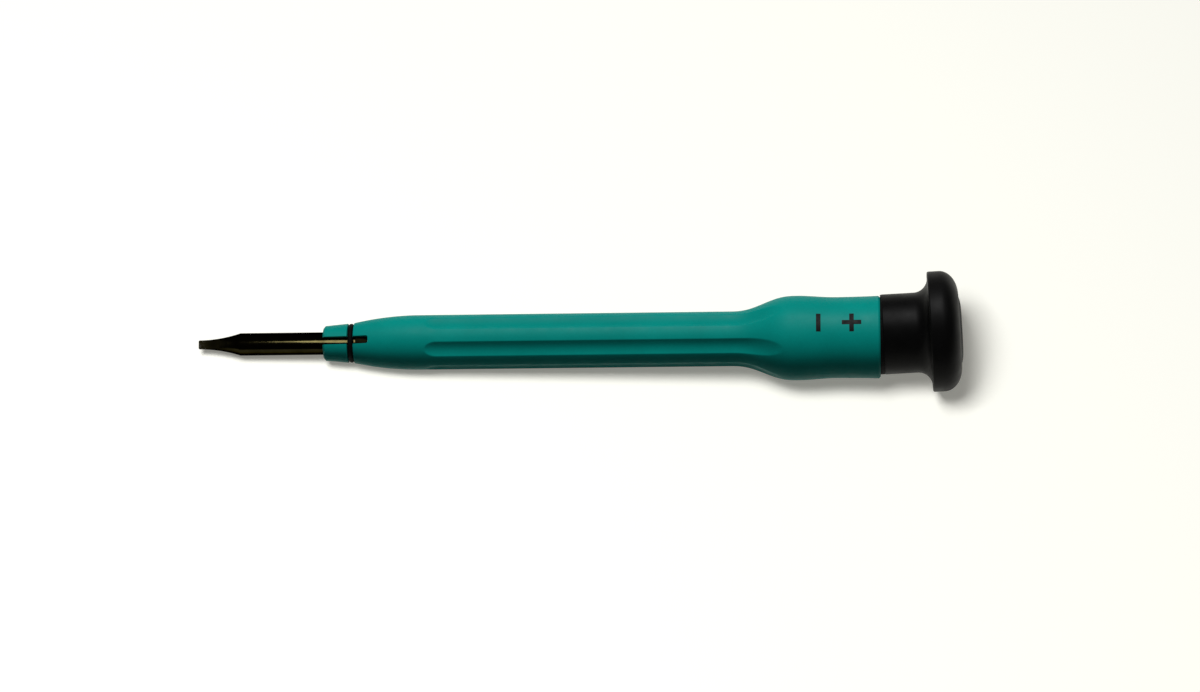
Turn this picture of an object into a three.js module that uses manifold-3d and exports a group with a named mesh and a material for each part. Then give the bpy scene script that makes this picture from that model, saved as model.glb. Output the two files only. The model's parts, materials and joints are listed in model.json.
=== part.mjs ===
// Reversible precision screwdriver: a double-ended blade held in the slotted nose of a fluted
// handle, with a cap behind the handle that turns freely under the forefinger.
//
// Millimetres. Every piece is made about the tool's axis, which runs along +X from the blade's
// flat tip to the cap, with x = 0 at the nose's face. An angle round the axis is measured from
// +Z towards -Y. The finished tool is then laid on the plane z = 0, resting on the front of its
// grip and on the rim of its cap, with the middle of its bounding box over the origin.

import * as THREE from "three";
import { mergeVertices } from "three/addons/utils/BufferGeometryUtils.js";
import Module from "manifold-3d";

const wasm = await Module();
wasm.setup();

const degrees = THREE.MathUtils.degToRad;

// Blade
const SHANK_DIAMETER = 4;
const BLADE_REACH = 22.4; // flat tip to the nose's face
const FLAT_TAPER_LENGTH = 7.5; // tip to full shank
const FLAT_TIP_WIDTH = 1.6;
const FLAT_TIP_THICKNESS = 0.4;
const FLAT_GRIND_LENGTH = 6.5; // hollow grinding on the two cheeks of the flat tip
const CROSS_TAPER_LENGTH = 3.3; // full shank to the neck
const CROSS_NECK_DIAMETER = 3;
const CROSS_NECK_LENGTH = 2.5;
const CROSS_POINT_DIAMETER = 0.8;
const CROSS_CONE_ANGLE = degrees(53);
const CROSS_WEB = 0.5; // thickness of each arm of the cross
const CROSS_FLUTE_ANGLE = degrees(20); // the grooves between the arms climb out of the cone
const WING_LENGTH = 2.1; // two wings at mid-blade turn with the handle's slot
const WING_RISE = 0.45; // out of the shank
const EDGE_BREAK = 0.15; // small chamfers

// Slotted nose
const NOSE_WALL = 0.9; // round the bore, at the face
const NOSE_LENGTH = 5.5; // cone from the face to the swell of the handle
const NOSE_RISE = 0.525; // of the cone's radius
const NOSE_CHAMFER = 0.35;
const SLOT_WIDTH = 1.4;
const SLOT_LENGTH = 8.15;
const SLOT_CORNER = 0.35; // radius at the blind end
const SLOT_ANGLE = degrees(20);
const RING_STATION = 4.9; // from the nose's face to the middle of the ring
const RING_SECTION = 0.9;
const RING_GROOVE_WIDTH = 1.1;

// Handle
const SWELL_LENGTH = 11.5; // nose cone to full grip
const GRIP_DIAMETER = 9.66;
const SHOULDER_STATION = 71.9; // where the grip starts to rise to the bulb
const SHOULDER_LENGTH = 12;
const BULB_DIAMETER = 14.9;
const WAIST_DIAMETER = 14.26;
const WAIST_LENGTH = 6.5; // bulb's crest to the waist
const REAR_LENGTH = 8; // waist to the rear face
const REAR_DIAMETER = 14.56;
const REAR_CHAMFER = 0.3;
const FLUTE_COUNT = 6;
const FLUTE_WIDTH = 2.7;
const FLUTE_DEPTH = 0.45;
const FLUTE_ANGLE = degrees(45); // middle of the first flute
const FLUTE_SETBACK = 1.2; // behind the start of the full grip
const FLUTE_OVERRUN = 9.4; // past the start of the shoulder
const FLUTE_ROUND = 2.2; // length of the rounded front end
const FLUTE_RUN_OUT = 7; // length over which a flute fades on the shoulder
const BORE_SPARE = 1.5; // past the blade's hidden point

// Swivel cap
const NECK_STEP = 0.23; // neck's surface inside the edge of the handle
const NECK_LENGTH = 8.2; // front of the neck to the underside of the rim
const NECK_WALL = 1.6;
const CORE_WEB = 1.4; // hollow round the hub to the floor of the pin's pocket
const HUB_DIAMETER = 6.8;
const HUB_SETBACK = 0.6; // hub's face behind the neck's
const RIM_DIAMETER = 21.2;
const RIM_FILLET = 2.5; // neck into the underside of the rim
const RIM_LAND = 2.1; // straight edge of the rim
const RIM_ROUND_LENGTH = 3.2; // rounding from the land to the lip
const RIM_LIP = 0.2; // flat ring round the pad
const PAD_DIAMETER = 12.2;
const PAD_THICKNESS = 2.2; // at its edge
const PAD_CROWN = 0.35;
const PAD_FLAT_DIAMETER = 8;

// Swivel pin and washers
const PIN_DIAMETER = 3;
const PIN_DEPTH = 11; // in the handle
const PIN_SEAT = 3; // the pressed length, at the bottom of the hole
const PIN_HEAD_DIAMETER = 5.4;
const PIN_HEAD_THICKNESS = 1.3;
const RETAINING_WASHER_DIAMETER = 5.8;
const RETAINING_WASHER_THICKNESS = 0.6;
const THRUST_WASHER_DIAMETER = 6.4;
const SWIVEL_LEAN = degrees(2.6); // the worn pin lets the cap lean as the tool lies
const SWIVEL_LEAN_ANGLE = degrees(-60); // side to which it leans, round the axis

// Clearances
const BLADE_CLEARANCE = 0.15; // shank to bore
const WING_CLEARANCE = 0.15; // each side of a wing in the slot
const WING_STOP_GAP = 0.3; // wings to the blind end of the slot
const RING_CLEARANCE = 0.1; // wings to the inside of the ring
const RING_SEAT_GAP = 0.05; // ring to the floor of its groove
const PIN_CLEARANCE = 0.06; // pin to its seat
const SWIVEL_CLEARANCE = 0.15; // pin to the cap's hub and the washers
const END_PLAY = 0.15; // along the axis, between the swivel's stacked pieces
const RUNNING_GAP = 0.2; // cap's neck to the handle, where they come closest
const POCKET_CLEARANCE = 0.25; // round the pin's head and its washer
const PAD_CLEARANCE = 0.1; // pad to its seat

// Facets
const BLADE_FACETS = 24;
const FACETS_PER_FLUTE = 10;
const CAP_FACETS = 12; // flats wide enough that the cap rests on one and doesn't roll
const PIN_FACETS = 24;
const RING_FACETS = 48;
const RING_SECTION_FACETS = 10;
const CURVE_STEPS = 8; // steps in a rounded stretch of an outline
const CUT_MARGIN = 1; // how far a cut runs past the surface it opens

// Sizes that follow from those above
const shankRadius = SHANK_DIAMETER / 2;
const boreRadius = shankRadius + BLADE_CLEARANCE;
const wingReach = shankRadius + WING_RISE;
const wingRear = SLOT_LENGTH - WING_STOP_GAP;
const bladeMiddle = wingRear - WING_LENGTH / 2;
const flatTip = -BLADE_REACH;
const crossTip = 2 * bladeMiddle - flatTip;
const ringInside = wingReach + RING_CLEARANCE;
const noseRadius = boreRadius + NOSE_WALL;
const noseEndRadius = noseRadius + NOSE_RISE;
const gripRadius = GRIP_DIAMETER / 2;
const swellEnd = NOSE_LENGTH + SWELL_LENGTH;
const crestStation = SHOULDER_STATION + SHOULDER_LENGTH;
const waistStation = crestStation + WAIST_LENGTH;
const handleLength = waistStation + REAR_LENGTH;
const fluteStart = swellEnd + FLUTE_SETBACK;
const fluteEnd = SHOULDER_STATION + FLUTE_OVERRUN;
const neckRadius = REAR_DIAMETER / 2 - NECK_STEP;
const rimRadius = RIM_DIAMETER / 2;
const hubRadius = HUB_DIAMETER / 2;
const hubBore = PIN_DIAMETER / 2 + SWIVEL_CLEARANCE;
const leanSlope = Math.tan(SWIVEL_LEAN);
const pivotDepth = PIN_DEPTH - PIN_SEAT / 2;

// Stations along the swivel's own axis, from the point in the handle about which it leans
const neckFront = pivotDepth + RUNNING_GAP + neckRadius * leanSlope;
const hubFront = neckFront + HUB_SETBACK;
const rimUnderside = neckFront + NECK_LENGTH;
const capEnd = rimUnderside + RIM_LAND + RIM_ROUND_LENGTH;
const padSeatFloor = capEnd - PAD_THICKNESS - END_PLAY;
const headFront = padSeatFloor - END_PLAY - PIN_HEAD_THICKNESS;
const washerFront = headFront - END_PLAY - RETAINING_WASHER_THICKNESS;
const pocketFloor = washerFront - END_PLAY;
const pocketRadius = Math.max(PIN_HEAD_DIAMETER, RETAINING_WASHER_DIAMETER) / 2 + POCKET_CLEARANCE;
const padSeatRadius = PAD_DIAMETER / 2 + PAD_CLEARANCE;

// A closed outline of [station, radius] points turned about the +X axis.
function turned(outline, facets, phase = 0) {
  const points = outline.map(([station, radius]) => new THREE.Vector2(radius, station));
  return new THREE.LatheGeometry(points, facets, phase, 2 * Math.PI).rotateZ(-Math.PI / 2);
}

// The same, with radii to the middle of a flat and with a flat at the bottom.
function turnedAcrossFlats(outline, facets) {
  const half = Math.PI / facets;
  const corners = outline.map(([station, radius]) => [station, radius / Math.cos(half)]);
  return turned(corners, facets, half);
}

// Corners of a path drawn in stations and radii, with its round stretches in CURVE_STEPS steps.
function outlineOf(path) {
  return path.getPoints(CURVE_STEPS).map((point) => [point.x, point.y]);
}

function cylinder(from, to, radius, facets) {
  return turned([[from, 0], [from, radius], [to, radius], [to, 0]], facets);
}

function washer(from, to, innerRadius, outerRadius) {
  const section = [[from, innerRadius], [from, outerRadius], [to, outerRadius], [to, innerRadius]];
  return turned([...section, section[0]], PIN_FACETS);
}

function solid(geometry) {
  const bare = geometry.clone();
  bare.deleteAttribute("normal");
  bare.deleteAttribute("uv");
  const merged = mergeVertices(bare);
  const vertProperties = new Float32Array(merged.attributes.position.array);
  const triVerts = new Uint32Array(merged.index.array);
  return new wasm.Manifold(new wasm.Mesh({ numProp: 3, vertProperties, triVerts }));
}

function geometryOf(body) {
  const mesh = body.getMesh();
  const geometry = new THREE.BufferGeometry();
  geometry.setAttribute("position", new THREE.BufferAttribute(mesh.vertProperties, 3));
  geometry.setIndex(new THREE.BufferAttribute(mesh.triVerts, 1));
  geometry.computeVertexNormals();
  return geometry;
}

// Round blade blank with both tapers: a concave flare to the flat tip, a cone to the cross tip.
function bladeBlank() {
  const tipRadius = FLAT_TIP_WIDTH / 2;
  const flareEnd = flatTip + FLAT_TAPER_LENGTH;
  const crossRadius = CROSS_NECK_DIAMETER / 2;
  const pointRadius = CROSS_POINT_DIAMETER / 2;
  const coneStart = crossTip - (crossRadius - pointRadius) / Math.tan(CROSS_CONE_ANGLE / 2);
  const neckStart = coneStart - CROSS_NECK_LENGTH;
  const path = new THREE.Path();
  path.moveTo(flatTip, 0);
  path.lineTo(flatTip, tipRadius - EDGE_BREAK);
  path.lineTo(flatTip + EDGE_BREAK, tipRadius);
  path.quadraticCurveTo((flatTip + flareEnd) / 2, tipRadius, flareEnd, shankRadius);
  path.lineTo(neckStart - CROSS_TAPER_LENGTH, shankRadius);
  path.lineTo(neckStart, crossRadius);
  path.lineTo(coneStart, crossRadius);
  path.lineTo(crossTip, pointRadius);
  path.lineTo(crossTip, 0);
  return turned(outlineOf(path), BLADE_FACETS);
}

// Hollow grinding on one cheek: from the tip's half thickness it curves up and out of the blank.
function cheekCutter() {
  const start = flatTip - CUT_MARGIN;
  const end = flatTip + FLAT_GRIND_LENGTH;
  const halfThickness = FLAT_TIP_THICKNESS / 2;
  const top = SHANK_DIAMETER;
  const shape = new THREE.Shape();
  shape.moveTo(start, halfThickness);
  shape.lineTo(flatTip, halfThickness);
  shape.quadraticCurveTo((flatTip + end) / 2, halfThickness, end, shankRadius);
  shape.lineTo(end, top);
  shape.lineTo(start, top);
  const cutter = new THREE.ExtrudeGeometry(shape, {
    depth: 2 * SHANK_DIAMETER,
    bevelEnabled: false,
    curveSegments: CURVE_STEPS,
  });
  return cutter.translate(0, 0, -SHANK_DIAMETER);
}

// One of the four grooves of the cross tip: a square bar, corner inwards, that climbs out of it.
function crossGroove() {
  const side = CROSS_NECK_DIAMETER;
  const length = 4 * CROSS_NECK_DIAMETER;
  const groove = new THREE.BoxGeometry(length, side, side);
  groove.rotateX(Math.PI / 4);
  groove.translate(0, 0, (side + CROSS_WEB) / Math.SQRT2);
  groove.rotateY(CROSS_FLUTE_ANGLE);
  return groove.rotateX(Math.PI / 4).translate(crossTip, 0, 0);
}

function wings() {
  const thickness = SLOT_WIDTH - 2 * WING_CLEARANCE;
  const shape = new THREE.Shape();
  const front = bladeMiddle - WING_LENGTH / 2;
  shape.moveTo(front, -wingReach + EDGE_BREAK);
  shape.lineTo(front + EDGE_BREAK, -wingReach);
  shape.lineTo(wingRear - EDGE_BREAK, -wingReach);
  shape.lineTo(wingRear, -wingReach + EDGE_BREAK);
  shape.lineTo(wingRear, wingReach - EDGE_BREAK);
  shape.lineTo(wingRear - EDGE_BREAK, wingReach);
  shape.lineTo(front + EDGE_BREAK, wingReach);
  shape.lineTo(front, wingReach - EDGE_BREAK);
  const plate = new THREE.ExtrudeGeometry(shape, { depth: thickness, bevelEnabled: false });
  return plate.translate(0, 0, -thickness / 2).rotateX(Math.PI / 2);
}

function bladeGeometry() {
  let blade = solid(bladeBlank()).add(solid(wings()));
  for (const side of [0, Math.PI]) {
    blade = blade.subtract(solid(cheekCutter().rotateX(Math.PI / 2 + side)));
  }
  for (let quarter = 0; quarter < 4; quarter += 1) {
    blade = blade.subtract(solid(crossGroove().rotateX((quarter * Math.PI) / 2)));
  }
  return geometryOf(blade).rotateX(SLOT_ANGLE);
}

// Radius of the handle's outside at a station, without the flutes.
function handleRadius(station) {
  const { lerp, smoothstep, smootherstep } = THREE.MathUtils;
  const bulbRadius = BULB_DIAMETER / 2;
  const waistRadius = WAIST_DIAMETER / 2;
  if (station <= NOSE_LENGTH) {
    return lerp(noseRadius, noseEndRadius, station / NOSE_LENGTH);
  }
  if (station <= swellEnd) {
    const left = (swellEnd - station) / SWELL_LENGTH;
    return gripRadius - (gripRadius - noseEndRadius) * left * left;
  }
  if (station <= crestStation) {
    return lerp(gripRadius, bulbRadius, smootherstep(station, SHOULDER_STATION, crestStation));
  }
  if (station <= waistStation) {
    return lerp(bulbRadius, waistRadius, smoothstep(station, crestStation, waistStation));
  }
  const rise = (station - waistStation) / REAR_LENGTH;
  return lerp(waistRadius, REAR_DIAMETER / 2, rise * rise);
}

// Depth of the flutes at a station and an angle: a hollow section with rounded ends.
function fluteDepth(station, angle) {
  const pitch = (2 * Math.PI) / FLUTE_COUNT;
  const turn = (angle - FLUTE_ANGLE) / pitch;
  const across = ((turn - Math.round(turn)) * pitch * gripRadius) / (FLUTE_WIDTH / 2);
  const beforeFront = (fluteStart + FLUTE_ROUND - station) / FLUTE_ROUND;
  const pastRear = (station - fluteEnd + FLUTE_RUN_OUT) / FLUTE_RUN_OUT;
  const along = Math.max(beforeFront, pastRear, 0);
  return FLUTE_DEPTH * Math.max(0, 1 - across * across - along * along);
}

// Evenly spaced stations after `from`, up to and including `to`.
function stations(from, to, count) {
  return Array.from({ length: count }, (_, step) => from + ((to - from) * (step + 1)) / count);
}

function handleOutside() {
  const along = [
    NOSE_CHAMFER,
    NOSE_LENGTH,
    ...stations(NOSE_LENGTH, swellEnd, CURVE_STEPS),
    fluteStart,
    ...stations(fluteStart, fluteStart + FLUTE_ROUND, CURVE_STEPS / 2),
    SHOULDER_STATION,
    ...stations(SHOULDER_STATION, fluteEnd, CURVE_STEPS),
    crestStation,
    ...stations(crestStation, waistStation, CURVE_STEPS / 2),
    ...stations(waistStation, handleLength - REAR_CHAMFER, CURVE_STEPS / 2),
  ].sort((a, b) => a - b);
  const outline = along.map((station) => [station, handleRadius(station)]);
  const noseFace = handleRadius(0) - NOSE_CHAMFER;
  const rearFace = handleRadius(handleLength) - REAR_CHAMFER;
  const closed = [[0, 0], [0, noseFace], ...outline, [handleLength, rearFace], [handleLength, 0]];
  const outside = turned(closed, FLUTE_COUNT * FACETS_PER_FLUTE, FLUTE_ANGLE);
  const position = outside.attributes.position;
  for (let corner = 0; corner < position.count; corner += 1) {
    const point = new THREE.Vector3().fromBufferAttribute(position, corner);
    const depth = fluteDepth(point.x, Math.atan2(-point.y, point.z));
    if (depth > 0) {
      const scale = 1 - depth / Math.hypot(point.y, point.z);
      position.setXYZ(corner, point.x, point.y * scale, point.z * scale);
    }
  }
  return outside;
}

function slotCutter() {
  const half = SLOT_WIDTH / 2;
  const reach = GRIP_DIAMETER;
  const shape = new THREE.Shape();
  shape.moveTo(-CUT_MARGIN, -half);
  shape.lineTo(SLOT_LENGTH - SLOT_CORNER, -half);
  shape.absarc(SLOT_LENGTH - SLOT_CORNER, -half + SLOT_CORNER, SLOT_CORNER, -Math.PI / 2, 0);
  shape.absarc(SLOT_LENGTH - SLOT_CORNER, half - SLOT_CORNER, SLOT_CORNER, 0, Math.PI / 2);
  shape.lineTo(-CUT_MARGIN, half);
  const cutter = new THREE.ExtrudeGeometry(shape, {
    depth: 2 * reach,
    bevelEnabled: false,
    curveSegments: CURVE_STEPS / 2,
  });
  return cutter.translate(0, 0, -reach).rotateX(SLOT_ANGLE);
}

// The pin's hole: a close seat at the bottom, opening towards the rear so that the pin can lean.
function pinHole() {
  const bottom = handleLength - PIN_DEPTH - END_PLAY;
  const seatEnd = handleLength - PIN_DEPTH + PIN_SEAT;
  const mouth = handleLength + CUT_MARGIN;
  const seatRadius = PIN_DIAMETER / 2 + PIN_CLEARANCE + (PIN_SEAT / 2) * leanSlope;
  const mouthRadius = seatRadius + (mouth - seatEnd) * leanSlope;
  const seat = [[bottom, 0], [bottom, seatRadius], [seatEnd, seatRadius]];
  return turned([...seat, [mouth, mouthRadius], [mouth, 0]], PIN_FACETS);
}

function handleGeometry() {
  const grooveFloor = ringInside - RING_SEAT_GAP;
  const grooveFront = RING_STATION - RING_GROOVE_WIDTH / 2;
  const grooveRear = RING_STATION + RING_GROOVE_WIDTH / 2;
  const grooveTop = noseEndRadius + CUT_MARGIN;
  const boreEnd = crossTip + BORE_SPARE;
  const handle = solid(handleOutside())
    .subtract(solid(cylinder(-CUT_MARGIN, boreEnd, boreRadius, BLADE_FACETS)))
    .subtract(solid(slotCutter()))
    .subtract(solid(washer(grooveFront, grooveRear, grooveFloor, grooveTop)))
    .subtract(solid(pinHole()));
  return geometryOf(handle);
}

function ringGeometry() {
  const ringRadius = ringInside + RING_SECTION / 2;
  const ring = new THREE.TorusGeometry(ringRadius, RING_SECTION / 2, RING_SECTION_FACETS, RING_FACETS);
  return ring.rotateY(Math.PI / 2).translate(RING_STATION, 0, 0);
}

// Cap: neck, filleted rim with a rounded end, seat for the pad, pocket for the pin's head, hub.
function capGeometry() {
  const coreRadius = neckRadius - NECK_WALL;
  const coreEnd = pocketFloor - CORE_WEB;
  const fillet = Math.min(RIM_FILLET, rimRadius - neckRadius - 2 * EDGE_BREAK);
  const landEnd = rimUnderside + RIM_LAND;
  const lipRadius = padSeatRadius + RIM_LIP;
  const path = new THREE.Path();
  path.moveTo(neckFront, coreRadius);
  path.lineTo(neckFront, neckRadius - EDGE_BREAK);
  path.lineTo(neckFront + EDGE_BREAK, neckRadius);
  path.lineTo(rimUnderside - fillet, neckRadius);
  path.absarc(rimUnderside - fillet, neckRadius + fillet, fillet, -Math.PI / 2, 0);
  path.lineTo(rimUnderside, rimRadius - EDGE_BREAK);
  path.lineTo(rimUnderside + EDGE_BREAK, rimRadius);
  path.lineTo(landEnd, rimRadius);
  path.absellipse(landEnd, lipRadius, RIM_ROUND_LENGTH, rimRadius - lipRadius, Math.PI / 2, 0, true);
  path.lineTo(capEnd, padSeatRadius);
  path.lineTo(padSeatFloor, padSeatRadius);
  path.lineTo(padSeatFloor, pocketRadius);
  path.lineTo(pocketFloor, pocketRadius);
  path.lineTo(pocketFloor, hubBore);
  path.lineTo(hubFront, hubBore);
  path.lineTo(hubFront, hubRadius);
  path.lineTo(coreEnd, hubRadius);
  path.lineTo(coreEnd, coreRadius);
  path.lineTo(neckFront, coreRadius);
  return turnedAcrossFlats(outlineOf(path), CAP_FACETS);
}

// Pad: a disc whose flat middle stands a little proud of its edge.
function padGeometry() {
  const radius = PAD_DIAMETER / 2;
  const under = padSeatFloor + END_PLAY;
  const crown = capEnd + PAD_CROWN;
  const path = new THREE.Path();
  path.moveTo(under, 0);
  path.lineTo(under, radius);
  path.lineTo(capEnd, radius);
  path.quadraticCurveTo(crown, (radius + PAD_FLAT_DIAMETER / 2) / 2, crown, PAD_FLAT_DIAMETER / 2);
  path.lineTo(crown, 0);
  return turnedAcrossFlats(outlineOf(path), CAP_FACETS);
}

function pinGeometry() {
  const tip = -PIN_SEAT / 2;
  const headRear = headFront + PIN_HEAD_THICKNESS;
  const radius = PIN_DIAMETER / 2;
  const headRadius = PIN_HEAD_DIAMETER / 2;
  const shank = [[tip, 0], [tip, radius - EDGE_BREAK], [tip + EDGE_BREAK, radius], [headFront, radius]];
  const head = [[headFront, headRadius], [headRear - EDGE_BREAK, headRadius]];
  const top = [[headRear, headRadius - EDGE_BREAK], [headRear, 0]];
  return turned([...shank, ...head, ...top], PIN_FACETS);
}

// The thrust washer fills the gap between the hub and the handle, clear of both as it leans.
function thrustWasherGeometry() {
  const outerRadius = THRUST_WASHER_DIAMETER / 2;
  const front = pivotDepth + outerRadius * leanSlope + END_PLAY;
  return washer(front, hubFront - END_PLAY, hubBore, outerRadius);
}

function retainingWasherGeometry() {
  const outerRadius = RETAINING_WASHER_DIAMETER / 2;
  return washer(washerFront, washerFront + RETAINING_WASHER_THICKNESS, hubBore, outerRadius);
}

function piece(name, geometry, color, roughness, metalness) {
  const mesh = new THREE.Mesh(geometry, new THREE.MeshStandardMaterial({ color, roughness, metalness }));
  mesh.name = name;
  return mesh;
}

const handle = piece("handle_body", handleGeometry(), 0x03877f, 0.4, 0);
const ring = piece("nose_ring", ringGeometry(), 0x0a0a0a, 0.7, 0);
const blade = piece("reversible_blade", bladeGeometry(), 0x241f1c, 0.35, 0.9);
const cap = piece("swivel_cap", capGeometry(), 0x060606, 0.5, 0);
const pad = piece("finger_pad", padGeometry(), 0x080808, 0.55, 0);
const pin = piece("swivel_pin", pinGeometry(), 0xa8a8a8, 0.35, 1);
const thrustWasher = piece("thrust_washer", thrustWasherGeometry(), 0xe6e2d8, 0.5, 0);
const retainingWasher = piece("retaining_washer", retainingWasherGeometry(), 0x9c9c9c, 0.35, 1);

// The pin's seat is where the swivel leans: pin, washers, cap and pad lean together.
const swivel = new THREE.Group();
const leanReach = Math.sin(SWIVEL_LEAN);
const leanAxis = new THREE.Vector3(
  Math.cos(SWIVEL_LEAN),
  -leanReach * Math.sin(SWIVEL_LEAN_ANGLE),
  leanReach * Math.cos(SWIVEL_LEAN_ANGLE),
);
swivel.position.x = handleLength - pivotDepth;
swivel.quaternion.setFromUnitVectors(new THREE.Vector3(1, 0, 0), leanAxis);
swivel.add(cap, pad, pin, thrustWasher, retainingWasher);

const tool = new THREE.Group();
tool.add(handle, ring, blade, swivel);
tool.updateMatrixWorld(true);

// The corner of a piece that touches first a plane rising by `slope` along +X from below.
function lowestCorner(mesh, slope) {
  const position = mesh.geometry.attributes.position;
  let lowest = null;
  for (let corner = 0; corner < position.count; corner += 1) {
    const point = new THREE.Vector3().fromBufferAttribute(position, corner).applyMatrix4(mesh.matrixWorld);
    if (!lowest || point.z - slope * point.x < lowest.z - slope * lowest.x) {
      lowest = point;
    }
  }
  return lowest;
}

// The tool lies on the grip and the cap: the plane under both settles in a few passes.
const RESTING_PASSES = 8;
let restSlope = 0;
for (let pass = 0; pass < RESTING_PASSES; pass += 1) {
  const front = lowestCorner(handle, restSlope);
  const rear = lowestCorner(cap, restSlope);
  restSlope = (rear.z - front.z) / (rear.x - front.x);
}
tool.rotation.y = Math.atan(restSlope);
tool.updateMatrixWorld(true);

const bounds = new THREE.Box3().setFromObject(tool, true);
const middle = bounds.getCenter(new THREE.Vector3());
tool.position.set(-middle.x, -middle.y, -bounds.min.z);

const screwdriver = new THREE.Group();
screwdriver.add(tool);

export default screwdriver;
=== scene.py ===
"""Reversible precision screwdriver: the looks of its pieces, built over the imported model.

Stations run along the tool's axis from the face of the nose, or along the swivel's own axis from the
front of the cap's neck. An angle round an axis is measured from +Z towards -Y. Pieces are made about
the X axis, in metres, and are then laid on their axis in the frame.
"""

import json
import math

import bmesh
import bpy
from bpy.props import FloatProperty, FloatVectorProperty, IntProperty, PointerProperty
from bpy.types import Operator, Panel, PropertyGroup
from mathutils import Matrix, Vector


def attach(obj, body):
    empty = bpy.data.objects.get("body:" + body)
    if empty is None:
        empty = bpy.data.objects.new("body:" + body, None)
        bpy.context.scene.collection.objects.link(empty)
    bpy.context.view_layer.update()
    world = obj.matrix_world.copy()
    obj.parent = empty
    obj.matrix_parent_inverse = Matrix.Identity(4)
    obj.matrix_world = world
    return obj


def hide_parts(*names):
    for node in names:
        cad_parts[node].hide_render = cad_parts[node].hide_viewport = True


bl_info = {
    "name": "Reversible Precision Screwdriver",
    "version": (1, 0, 0),
    "blender": (4, 5, 0),
    "location": "3D View > Sidebar > Screwdriver",
    "description": "Makes the fluted handle, double-ended blade and swivel cap of a precision screwdriver",
    "category": "Object",
}

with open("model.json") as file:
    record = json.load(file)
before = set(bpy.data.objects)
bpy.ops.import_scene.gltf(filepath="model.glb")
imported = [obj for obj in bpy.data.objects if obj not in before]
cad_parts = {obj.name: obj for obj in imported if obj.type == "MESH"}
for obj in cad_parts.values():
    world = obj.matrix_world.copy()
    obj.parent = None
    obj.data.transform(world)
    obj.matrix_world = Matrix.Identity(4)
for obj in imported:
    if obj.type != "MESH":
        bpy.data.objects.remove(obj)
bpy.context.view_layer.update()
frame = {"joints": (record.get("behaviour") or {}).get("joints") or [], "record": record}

MM = 0.001

# Fineness of the meshes
HANDLE_SEGMENTS = 360
CAP_SEGMENTS = 180
BLADE_SEGMENTS = 96
SMALL_SEGMENTS = 120
CURVE_STEPS = 24
FILLET_STEPS = 5
SHARP_ANGLE = math.radians(40)
MERGE_DISTANCE = 0.003 * MM

# Small edges, as the pieces are made
HANDLE_EDGE = 0.1 * MM
CAP_EDGE = 0.12 * MM
RIM_EDGE = 0.3 * MM
SEAT_LIP = 0.2 * MM
WASHER_EDGE = 0.08 * MM
PIN_EDGE = 0.15 * MM


def named(rows, name):
    """The joint or mount of that name."""
    return next(row for row in rows if row["name"] == name)


TOOL_AXIS = -Vector(named(frame["joints"], "blade_slide")["axis"]).normalized()
SWIVEL_AXIS = Vector(named(frame["joints"], "cap_swivel")["axis"]).normalized()
FLAT_TIP_AT = Vector(named(frame["record"]["mounts"], "flat_tip")["pos_m"])
CAP_END_AT = Vector(named(frame["record"]["mounts"], "cap_end")["pos_m"])
BODY_OF = {node: body for body, nodes in frame["record"]["behaviour"]["bodies"].items() for node in nodes}


# Sizes and colours


def length(name, millimetres, description):
    """A size that a user may change, given in millimetres and kept in metres."""
    return FloatProperty(
        name=name,
        description=description,
        default=millimetres * MM,
        min=0.0,
        precision=5,
        subtype="DISTANCE",
        unit="LENGTH",
    )


def turn(name, degrees, description):
    """An angle that a user may change."""
    return FloatProperty(
        name=name, description=description, default=math.radians(degrees), subtype="ANGLE", unit="ROTATION"
    )


def colour(name, default, description):
    """A linear colour that a user may change."""
    return FloatVectorProperty(
        name=name, description=description, default=default, size=3, min=0.0, max=1.0, subtype="COLOR"
    )


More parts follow.
